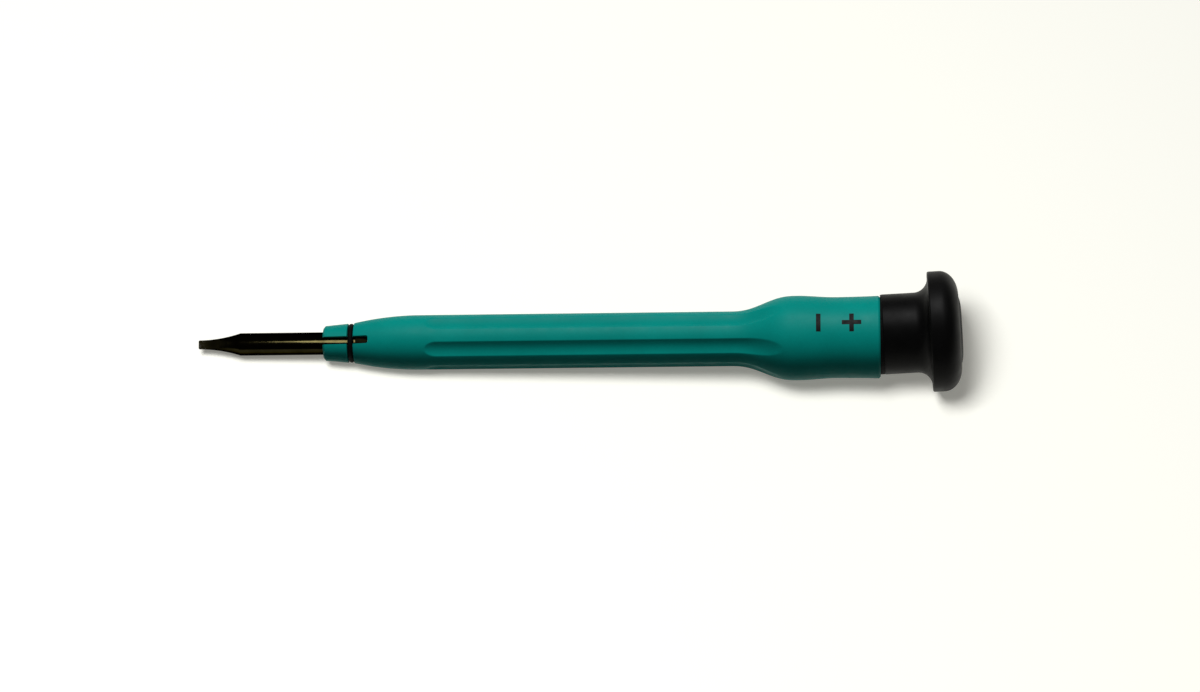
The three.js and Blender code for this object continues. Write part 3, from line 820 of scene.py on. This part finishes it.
def slot_outline(sizes):
    """Slot across the nose, seen from above: open at the nose's face, rounded at its blind end."""
    half, corner = sizes.slot_width / 2, sizes.slot_corner
    open_end = -sizes.slot_width
    return filleted(
        [
            (open_end, -half),
            (sizes.slot_length, -half, corner),
            (sizes.slot_length, half, corner),
            (open_end, half),
        ]
    )


class SCREWDRIVER_OT_handle(Operator):
    """Turn the handle, cut the slot across its nose and press its flutes"""

    bl_idname = "screwdriver.handle"
    bl_label = "Fluted handle"

    def execute(self, context):
        scene = context.scene
        sizes = scene.driver_handle
        placing = tool_frame(scene)
        plastic = teal_plastic(scene.driver_finish.handle, placing)
        piece = workpiece("fluted_handle", turned(handle_outline(sizes), HANDLE_SEGMENTS))
        slot = prism(slot_outline(sizes), sizes.grip_diameter)
        slot.transform(about_x(sizes.slot_angle))
        carve(piece, slot)
        press_flutes(
            piece,
            {
                "Count": sizes.flute_count,
                "Width": sizes.flute_width,
                "Depth": sizes.flute_depth,
                "First Angle": sizes.flute_angle,
                "Start": sizes.flute_start,
                "End": sizes.flute_end,
                "Front Round": sizes.flute_round,
                "Run Out": sizes.flute_run_out,
                "Radius": sizes.grip_diameter / 2,
                "Material": plastic,
            },
        )
        dress(piece, placing, plastic, "handle_body")
        return {"FINISHED"}


class SCREWDRIVER_OT_nose_ring(Operator):
    """Make the rubber ring that lies in the groove round the nose"""

    bl_idname = "screwdriver.nose_ring"
    bl_label = "Nose ring"

    def execute(self, context):
        scene = context.scene
        sizes = scene.driver_handle
        section = sizes.ring_section / 2
        centre = (sizes.ring_station, sizes.ring_inside / 2 + section)
        circle = arc(centre, (section, section), math.pi, -math.pi)[:-1]
        piece = workpiece("rubber_ring", turned(circle, SMALL_SEGMENTS, closed=True))
        placing = tool_frame(scene)
        dress(piece, placing, black_rubber(scene.driver_finish.ring, placing), "nose_ring")
        return {"FINISHED"}


# Marks printed on the bulb
MARK_LONG = 3.4 * MM
MARK_LINE = 0.8 * MM
MARK_STATIONS = (87.6 * MM, 93.4 * MM)
MARK_ANGLE = math.radians(8)
MARK_CELL = 0.1 * MM
INK_HEIGHT = 0.012 * MM


def printed(sizes, shell, station, low, high):
    """A rectangle of ink on the bulb, from low to high along and round the handle."""
    counts = [max(1, round((top - bottom) / MARK_CELL)) for bottom, top in zip(low, high)]
    rows = []
    for step in range(counts[0] + 1):
        along = station + between(low[0], high[0], step / counts[0])
        radius = handle_radius(sizes, along) + INK_HEIGHT
        arcs = [between(low[1], high[1], place / counts[1]) for place in range(counts[1] + 1)]
        angles = [MARK_ANGLE + reach / radius for reach in arcs]
        rows.append([shell.verts.new(round_point(along, radius, angle)) for angle in angles])
    for front, rear in zip(rows, rows[1:]):
        for place in range(counts[1]):
            shell.faces.new((front[place], front[place + 1], rear[place + 1], rear[place]))


class SCREWDRIVER_OT_tip_marks(Operator):
    """Print a plain bar and a plain cross on the bulb, for the blade's two tips"""

    bl_idname = "screwdriver.tip_marks"
    bl_label = "Tip marks"

    def execute(self, context):
        scene = context.scene
        sizes = scene.driver_handle
        half, line = MARK_LONG / 2, MARK_LINE / 2
        shell = bmesh.new()
        printed(sizes, shell, MARK_STATIONS[0], (-line, -half), (line, half))
        printed(sizes, shell, MARK_STATIONS[1], (-line, -half), (line, half))
        printed(sizes, shell, MARK_STATIONS[1], (-half, -line), (-line, line))
        printed(sizes, shell, MARK_STATIONS[1], (line, -line), (half, line))
        piece = workpiece("tip_marks", as_mesh("tip_marks", merged(shell)))
        ink = piece.modifiers.new("ink", "SOLIDIFY")
        ink.thickness = 2 * INK_HEIGHT
        ink.offset = -1.0
        settle(piece)
        placing = tool_frame(scene)
        piece.data.transform(placing)
        piece.data.materials.append(pad_ink(scene.driver_finish.ink, placing))
        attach(piece, BODY_OF["handle_body"])
        return {"FINISHED"}


# Blade


def blade_outline(sizes):
    """Round blank of the blade: a flare to the flat tip, a cone to the cross tip."""
    shank, tip = sizes.shank_diameter / 2, sizes.flat_width / 2
    neck, point = sizes.cross_neck / 2, sizes.cross_point / 2
    flat_end = -sizes.reach
    cross_end = sizes.overall - sizes.reach
    flare_end = flat_end + sizes.flat_taper
    cone = cross_end - (neck - point) / math.tan(sizes.cross_cone / 2)
    neck_start = cone - sizes.cross_neck_length
    small = sizes.edge_break
    flare = bent((flat_end + small, tip), ((flat_end + flare_end) / 2, tip), (flare_end, shank))
    return filleted(
        [
            (flat_end, 0),
            (flat_end, tip - small),
            (flat_end + small, tip),
            *flare,
            (neck_start - sizes.cross_taper, shank, sizes.cross_blend),
            (neck_start, neck, sizes.cross_blend),
            (cone, neck, small),
            (cross_end, point, small),
            (cross_end, 0),
        ]
    )


def cheek_outline(sizes):
    """What the grinding wheel takes off one cheek of the flat tip, seen from its edge."""
    start, end = -sizes.reach - sizes.shank_diameter, -sizes.reach + sizes.flat_grind
    half, top = sizes.flat_thickness / 2, sizes.shank_diameter
    hollow = bent((-sizes.reach, half), ((end - sizes.reach) / 2, half), (end, sizes.shank_diameter / 2))
    return [(start, half), (-sizes.reach, half), *hollow, (end, top), (start, top)]


def wing_outline(sizes):
    """The plate of the two wings, across the blade."""
    reach = sizes.shank_diameter / 2 + sizes.wing_rise
    front = sizes.wing_rear - sizes.wing_length
    small = sizes.edge_break
    return filleted(
        [
            (front, -reach, small),
            (sizes.wing_rear, -reach, small),
            (sizes.wing_rear, reach, small),
            (front, reach, small),
        ]
    )


def wing_swing(sizes):
    """Bar that rounds the outer edges of the wings."""
    reach = sizes.shank_diameter / 2 + sizes.wing_rise
    front, rear = sizes.wing_rear - 2 * sizes.wing_length, sizes.wing_rear + sizes.wing_length
    return [(front, 0), (front, reach), (rear, reach), (rear, 0)]


def cross_groove(sizes, quarter):
    """One of the four grooves of the cross tip: a square bar, corner inwards, that climbs out of it."""
    side = sizes.cross_neck
    outwards = (side + sizes.cross_web) / math.sqrt(2)
    placing = (
        Matrix.Translation((sizes.overall - sizes.reach, 0, 0))
        @ about_x(math.pi / 4 + quarter * math.pi / 2)
        @ Matrix.Rotation(sizes.cross_flute, 4, "Y")
        @ Matrix.Translation((0, 0, outwards))
        @ about_x(math.pi / 4)
        @ Matrix.Diagonal((4 * side, side, side, 1))
    )
    return box(placing)


class SCREWDRIVER_OT_blade(Operator):
    """Grind the blade: a flat tip, a cross tip and two wings between them"""

    bl_idname = "screwdriver.blade"
    bl_label = "Reversible blade"

    def execute(self, context):
        scene = context.scene
        sizes = scene.driver_blade
        piece = workpiece("ground_blade", turned(blade_outline(sizes), BLADE_SEGMENTS))
        wings = workpiece("wings", prism(wing_outline(sizes), sizes.wing_thickness / 2))
        wings.data.transform(about_x(math.pi / 2))
        carve(wings, turned(wing_swing(sizes), BLADE_SEGMENTS), "INTERSECT")
        carve(piece, wings.data, "UNION")
        bpy.data.objects.remove(wings)
        for side in (0, math.pi):
            cheek = prism(cheek_outline(sizes), sizes.shank_diameter)
            cheek.transform(about_x(math.pi / 2 + side))
            carve(piece, cheek)
        for quarter in range(4):
            carve(piece, cross_groove(sizes, quarter))
        placing = tool_frame(scene)
        finish = scene.driver_finish
        shank = sizes.shank_diameter / 2
        oxide = dark_oxide(finish.blade, finish.bare_steel, -sizes.reach, shank, placing)
        dress(piece, placing @ about_x(scene.driver_handle.slot_angle), oxide, "reversible_blade")
        return {"FINISHED"}


# Swivel


def cap_end(sizes):
    """Station of the lip of the cap's end."""
    return sizes.neck_length + sizes.rim_land + sizes.rim_round


def pad_top(sizes):
    """Station of the flat middle of the pad."""
    return cap_end(sizes) + sizes.pad_crown


def pad_floor(sizes):
    """Station of the floor of the pad's seat."""
    return cap_end(sizes) - sizes.pad_thickness - sizes.play


def head_front(sizes):
    """Station of the underside of the pin's head."""
    return pad_floor(sizes) - sizes.play - sizes.pin_head_thickness


def cap_outline(sizes):
    """Neck, filleted rim with a rounded end, seat for the pad, pocket for the pin's head and hub."""
    neck, rim = sizes.neck_diameter / 2, sizes.rim_diameter / 2
    seat, pocket = sizes.pad_seat / 2, sizes.pocket_diameter / 2
    bore, hub, core = sizes.hub_bore / 2, sizes.hub_diameter / 2, sizes.neck_core / 2
    end, seat_floor = cap_end(sizes), pad_floor(sizes)
    pocket_floor = head_front(sizes) - 2 * sizes.play - sizes.steel_washer_thickness
    underside, land_end = sizes.neck_length, sizes.neck_length + sizes.rim_land
    fillet = sizes.rim_fillet
    lip, small = seat + SEAT_LIP, CAP_EDGE
    return filleted(
        [
            (0, core, small),
            (0, neck, small),
            *arc((underside - fillet, neck + fillet), (fillet, fillet), -math.pi / 2, 0),
            (underside, rim, RIM_EDGE),
            *arc((land_end, lip), (sizes.rim_round, rim - lip), math.pi / 2, 0),
            (end, seat),
            (seat_floor, seat, small),
            (seat_floor, pocket, small),
            (pocket_floor, pocket, small),
            (pocket_floor, bore, small),
            (sizes.hub_setback, bore, small),
            (sizes.hub_setback, hub, small),
            (sizes.core_depth, hub, 2 * small),
            (sizes.core_depth, core, 2 * small),
        ]
    )


class SCREWDRIVER_OT_cap(Operator):
    """Mould the cap that turns under the forefinger"""

    bl_idname = "screwdriver.cap"
    bl_label = "Swivel cap"

    def execute(self, context):
        scene = context.scene
        mesh = turned(cap_outline(scene.driver_swivel), CAP_SEGMENTS, closed=True)
        piece = workpiece("moulded_cap", mesh)
        placing = swivel_frame(scene)
        plastic = black_moulding("cap_plastic", scene.driver_finish.cap, placing, (0.4, 0.52))
        dress(piece, placing, plastic, "swivel_cap")
        return {"FINISHED"}


class SCREWDRIVER_OT_finger_pad(Operator):
    """Mould the pad that closes the cap over the pin's head"""

    bl_idname = "screwdriver.finger_pad"
    bl_label = "Finger pad"

    def execute(self, context):
        scene = context.scene
        sizes = scene.driver_swivel
        radius, flat = sizes.pad_diameter / 2, sizes.pad_flat / 2
        under, end, top = pad_floor(sizes) + sizes.play, cap_end(sizes), pad_top(sizes)
        small = CAP_EDGE
        crown = bent((end, radius - small), (top, between(flat, radius, 0.5)), (top, flat))
        outline = [(under, 0), (under, radius, small), (end - small, radius), (end, radius - small)]
        outline += [*crown, (top, 0)]
        piece = workpiece("moulded_pad", turned(filleted(outline), CAP_SEGMENTS))
        placing = swivel_frame(scene)
        plastic = black_moulding("pad_plastic", scene.driver_finish.pad, placing, (0.45, 0.6))
        dress(piece, placing, plastic, "finger_pad")
        return {"FINISHED"}


# Knurl on the pin's pressed end
KNURL_RIDGES = 18
KNURL_DEPTH = 0.08 * MM


def washer(sizes, front, thickness, diameter):
    """Turned mesh of a flat washer on the pin."""
    inner, outer = sizes.hub_bore / 2, diameter / 2
    corners = ((front, inner), (front, outer), (front + thickness, outer), (front + thickness, inner))
    return turned(filleted([(*corner, WASHER_EDGE) for corner in corners]), SMALL_SEGMENTS, closed=True)


# This ring is a dark piece put in the gap between the handle and the cap as painted shade.
def gap_shade_ring_outline(sizes):
    """Flanged ring on the swivel's axis, too long at its front, with a collar that enters the neck."""
    inner, collar, flange = sizes.gap_shade_ring_bore / 2, sizes.gap_shade_ring_collar / 2, sizes.dust_ring / 2
    front, step, rear = -sizes.gap_shade_ring_collar / 2, -sizes.gap_shade_ring_clearance, sizes.gap_shade_ring_reach
    corners = [(front, inner), (front, flange), (step, flange), (step, collar)]
    return filleted([*corners, (rear, collar, HANDLE_EDGE), (rear, inner, HANDLE_EDGE)])


class SCREWDRIVER_OT_gap_shade_ring(Operator):
    """Make the wedge-shaped ring that closes the gap between the handle and the leaning cap: a dark piece
    that is painted shade in that gap
    """

    bl_idname = "screwdriver.dust_ring"
    bl_label = "Gap shade ring"

    def execute(self, context):
        scene = context.scene
        placing = swivel_frame(scene)
        end, wide = handle_length(scene.driver_handle), scene.driver_handle.bulb_diameter
        front = end - wide
        stock = turned([(front, 0), (front, wide), (end, wide), (end, 0)], BLADE_SEGMENTS)
        stock.transform(placing.inverted() @ tool_frame(scene))
        mesh = turned(gap_shade_ring_outline(scene.driver_swivel), CAP_SEGMENTS, closed=True)
        piece = workpiece("dust_ring", mesh)
        carve(piece, stock)
        # Black rubber on this ring is painted shade in the gap to the cap.
        lay(piece, placing, black_rubber(scene.driver_finish.ring, placing))
        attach(piece, BODY_OF["handle_body"])
        return {"FINISHED"}


class SCREWDRIVER_OT_swivel_pin(Operator):
    """Turn the pin on which the cap swivels, and knurl its pressed end"""

    bl_idname = "screwdriver.swivel_pin"
    bl_label = "Swivel pin"

    def execute(self, context):
        scene = context.scene
        sizes = scene.driver_swivel
        radius, head = sizes.pin_diameter / 2, sizes.pin_head / 2
        tip, knurl_end, under_head = -sizes.pin_tip, sizes.pin_knurl - sizes.pin_tip, head_front(sizes)
        top = under_head + sizes.pin_head_thickness
        small = PIN_EDGE
        knurl = [(station, radius) for station in spaced(tip + 2 * small, knurl_end, 16)]
        outline = [(tip, 0), (tip, radius, small), *knurl, (under_head, radius), (under_head, head, small)]
        outline += [(top, head, 2 * small), (top, 0)]
        piece = workpiece("knurled_pin", turned(filleted(outline), 6 * KNURL_RIDGES))
        placing = swivel_frame(scene)
        steel = turned_steel(scene.driver_finish.pin, placing)
        press_flutes(
            piece,
            {
                "Count": KNURL_RIDGES,
                "Width": 2 * math.pi * radius / KNURL_RIDGES,
                "Depth": KNURL_DEPTH,
                "First Angle": 0.0,
                "Start": tip,
                "End": knurl_end,
                "Front Round": 2 * small,
                "Run Out": 2 * small,
                "Radius": radius,
                "Material": steel,
            },
        )
        dress(piece, placing, steel, "swivel_pin")
        return {"FINISHED"}


class SCREWDRIVER_OT_washers(Operator):
    """Make the steel washer under the pin's head and the nylon one between the cap and the handle"""

    bl_idname = "screwdriver.washers"
    bl_label = "Washers"

    def execute(self, context):
        scene = context.scene
        sizes = scene.driver_swivel
        placing = swivel_frame(scene)
        steel_front = head_front(sizes) - sizes.play - sizes.steel_washer_thickness
        steel = washer(sizes, steel_front, sizes.steel_washer_thickness, sizes.steel_washer)
        steel_finish = turned_steel(scene.driver_finish.pin, placing)
        dress(workpiece("steel_washer", steel), placing, steel_finish, "retaining_washer")
        nylon_front = sizes.hub_setback - sizes.play - sizes.nylon_washer_thickness
        nylon = washer(sizes, nylon_front, sizes.nylon_washer_thickness, sizes.nylon_washer)
        nylon_finish = natural_nylon(scene.driver_finish.nylon, placing)
        dress(workpiece("nylon_washer", nylon), placing, nylon_finish, "thrust_washer")
        return {"FINISHED"}


# Stage


# Lamps, in watts and metres
KEY_POWER = 6.0
KEY_SIZE = 0.26
KEY_PLACE = (0, 0.3, 0.74)
BENCH_POWER = 6.0
BENCH_SIZE = 0.28
BENCH_PLACE = (-0.18, -0.12, 0.75)
SKY_COLOUR = (0.05, 0.05, 0.05)
SENSOR_WIDTH_MM = 36.0
CAMERA_NEAR = 0.05


def lamp(name, place, power, size, pieces):
    """A square lamp that looks at the origin and lights some pieces alone."""
    data = bpy.data.lights.new(name, "AREA")
    data.energy = power
    data.size = size
    lamp_object = bpy.data.objects.new(name, data)
    lamp_object.location = place
    lamp_object.rotation_euler = (-Vector(place)).to_track_quat("-Z", "Y").to_euler()
    bpy.context.scene.collection.objects.link(lamp_object)
    lit = bpy.data.collections.new(name)
    for piece in pieces:
        lit.objects.link(piece)
    lamp_object.light_linking.receiver_collection = lit


def pale_floor(seen, glow, bounced):
    """Pale to the camera and in reflections, darker where it only throws light back at the tool."""
    material = bpy.data.materials.new("pale_floor")
    material.use_nodes = True
    sheet = NodeSheet(material.node_tree)
    sheet.tree.nodes.clear()
    ray = sheet.add("ShaderNodeLightPath").outputs
    shown = sheet.math("MAXIMUM", ray["Is Camera Ray"], ray["Is Glossy Ray"])
    shown = sheet.math("MAXIMUM", shown, ray["Is Transmission Ray"])
    pale = sheet.add("ShaderNodeAddShader")
    sheet.feed(pale.inputs[0], sheet.fed("ShaderNodeBsdfDiffuse", {"Color": (*seen, 1.0)}).outputs[0])
    sheet.feed(pale.inputs[1], sheet.fed("ShaderNodeEmission", {"Color": (*glow, 1.0)}).outputs[0])
    dull = sheet.fed("ShaderNodeBsdfDiffuse", {"Color": (*bounced, 1.0)})
    mix = sheet.add("ShaderNodeMixShader")
    for socket, value in zip(mix.inputs, (shown, dull.outputs[0], pale.outputs[0])):
        sheet.feed(socket, value)
    sheet.feed(sheet.add("ShaderNodeOutputMaterial").inputs["Surface"], mix.outputs[0])
    return material


class SCREWDRIVER_OT_stage(Operator):
    """Lay the floor, hang the lamps and set up the camera"""

    bl_idname = "screwdriver.stage"
    bl_label = "Stage"

    def execute(self, context):
        scene = context.scene
        stage = scene.driver_stage
        half = stage.floor_size / 2
        mesh = bpy.data.meshes.new("floor")
        corners = [(-half, -half, 0), (half, -half, 0), (half, half, 0), (-half, half, 0)]
        mesh.from_pydata(corners, [], [(0, 1, 2, 3)])
        mesh.materials.append(pale_floor(stage.floor_colour, stage.floor_glow, stage.floor_bounce))
        blade = bpy.data.objects["ground_blade"]
        others = [piece for piece in scene.objects if piece.type == "MESH" and piece != blade]
        floor = workpiece("floor", mesh)

        lamp("key", KEY_PLACE, KEY_POWER, KEY_SIZE, others)
        lamp("bench", BENCH_PLACE, BENCH_POWER, BENCH_SIZE, (floor, blade))
        world = bpy.data.worlds.new("studio")
        world.use_nodes = True
        world.node_tree.nodes["Background"].inputs["Color"].default_value = (*SKY_COLOUR, 1.0)
        scene.world = world

        back = Vector(
            (
                math.sin(stage.azimuth) * math.cos(stage.elevation),
                -math.cos(stage.azimuth) * math.cos(stage.elevation),
                math.sin(stage.elevation),
            )
        )
        looking = (-back).to_track_quat("-Z", "Y")
        middle = tool_frame(scene) @ Vector((stage.aim_station, 0, 0))
        aim = middle - looking @ Vector((0, stage.aim_drop, 0))
        data = bpy.data.cameras.new("camera")
        data.sensor_width = SENSOR_WIDTH_MM
        data.lens = stage.focal
        data.clip_start = CAMERA_NEAR
        camera = bpy.data.objects.new("camera", data)
        camera.location = aim + back * stage.distance
        camera.rotation_euler = looking.to_euler()
        scene.collection.objects.link(camera)
        scene.camera = camera
        scene.view_settings.view_transform = "Standard"
        return {"FINISHED"}


MAKERS = (
    SCREWDRIVER_OT_handle,
    SCREWDRIVER_OT_nose_ring,
    SCREWDRIVER_OT_tip_marks,
    SCREWDRIVER_OT_blade,
    SCREWDRIVER_OT_cap,
    SCREWDRIVER_OT_finger_pad,
    SCREWDRIVER_OT_gap_shade_ring,
    SCREWDRIVER_OT_swivel_pin,
    SCREWDRIVER_OT_washers,
    SCREWDRIVER_OT_stage,
)

GROUPS = {
    "driver_handle": SCREWDRIVER_PG_handle,
    "driver_blade": SCREWDRIVER_PG_blade,
    "driver_swivel": SCREWDRIVER_PG_swivel,
    "driver_finish": SCREWDRIVER_PG_finish,
    "driver_stage": SCREWDRIVER_PG_stage,
}


class SCREWDRIVER_PT_sidebar(Panel):
    """Buttons that make the pieces"""

    bl_label = "Screwdriver"
    bl_idname = "SCREWDRIVER_PT_sidebar"
    bl_space_type = "VIEW_3D"
    bl_region_type = "UI"
    bl_category = "Screwdriver"

    def draw(self, context):
        for maker in MAKERS:
            self.layout.operator(maker.bl_idname)
        for name, group in GROUPS.items():
            column = self.layout.column(heading=name)
            for size in group.__annotations__:
                column.prop(getattr(context.scene, name), size)


CLASSES = (*GROUPS.values(), *MAKERS, SCREWDRIVER_PT_sidebar)


def register():
    """Adds the classes and the scene's settings."""
    for cls in CLASSES:
        bpy.utils.register_class(cls)
    for name, group in GROUPS.items():
        setattr(bpy.types.Scene, name, PointerProperty(type=group))


def unregister():
    """Takes them away again."""
    for name in GROUPS:
        delattr(bpy.types.Scene, name)
    for cls in reversed(CLASSES):
        bpy.utils.unregister_class(cls)


def main():
    """Makes every piece."""
    register()
    bpy.ops.screwdriver.handle()
    bpy.ops.screwdriver.nose_ring()
    bpy.ops.screwdriver.tip_marks()
    bpy.ops.screwdriver.blade()
    bpy.ops.screwdriver.cap()
    bpy.ops.screwdriver.finger_pad()
    bpy.ops.screwdriver.dust_ring()
    bpy.ops.screwdriver.swivel_pin()
    bpy.ops.screwdriver.washers()
    bpy.ops.screwdriver.stage()


if __name__ == "__main__":
    main()
